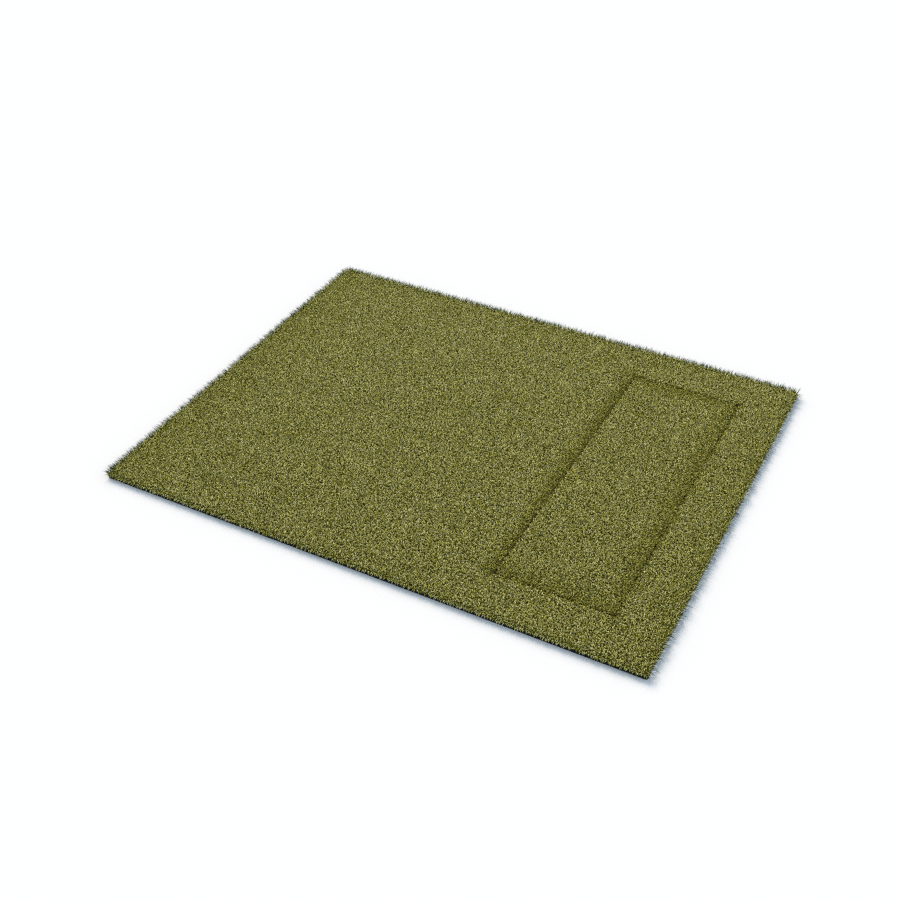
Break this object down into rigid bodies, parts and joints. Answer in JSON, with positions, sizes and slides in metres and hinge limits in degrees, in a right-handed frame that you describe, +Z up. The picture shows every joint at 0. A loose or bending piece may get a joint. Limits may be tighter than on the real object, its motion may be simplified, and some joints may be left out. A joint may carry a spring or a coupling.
{
  "type": "golf hitting mat",
  "caption": "Flat turf stance mat on a foam and rubber base, with a rectangular lift-out turf hitting insert near one end.",
  "frame": {"origin": "centre of the mat's underside, on the floor", "axes": "+Z up, out of the turf; +X along the five foot side, towards the insert; +Y along the four foot side, towards the mat's back edge"},
  "size_m": [1.524, 1.2192, 0.018],
  "materials": {
    "base_rubber": "matte",
    "foam": "matte",
    "latex_coat": "satin",
    "woven_backing": "matte",
    "stance_turf": "matte",
    "insert_turf": "matte",
    "hook_tape": "matte",
    "loop_tape": "matte"
  },
  "bodies": {
    "mat": {"base_sheet": "base_rubber", "stance_foam": "foam", "stance_latex": "latex_coat", "stance_backing": "woven_backing", "stance_pile": "stance_turf", "pocket_hook_front": "hook_tape", "pocket_hook_middle": "hook_tape", "pocket_hook_back": "hook_tape"},
    "insert": {"insert_loop_front": "loop_tape", "insert_loop_middle": "loop_tape", "insert_loop_back": "loop_tape", "insert_pad": "foam", "insert_latex": "latex_coat", "insert_backing": "woven_backing", "insert_pile": "insert_turf"}
  },
  "joints": [
    {"name": "insert_lift", "type": "slide", "parent": "mat", "child": "insert", "axis": [0, 0, 1], "range_m": [0, 0.1]}
  ]
}
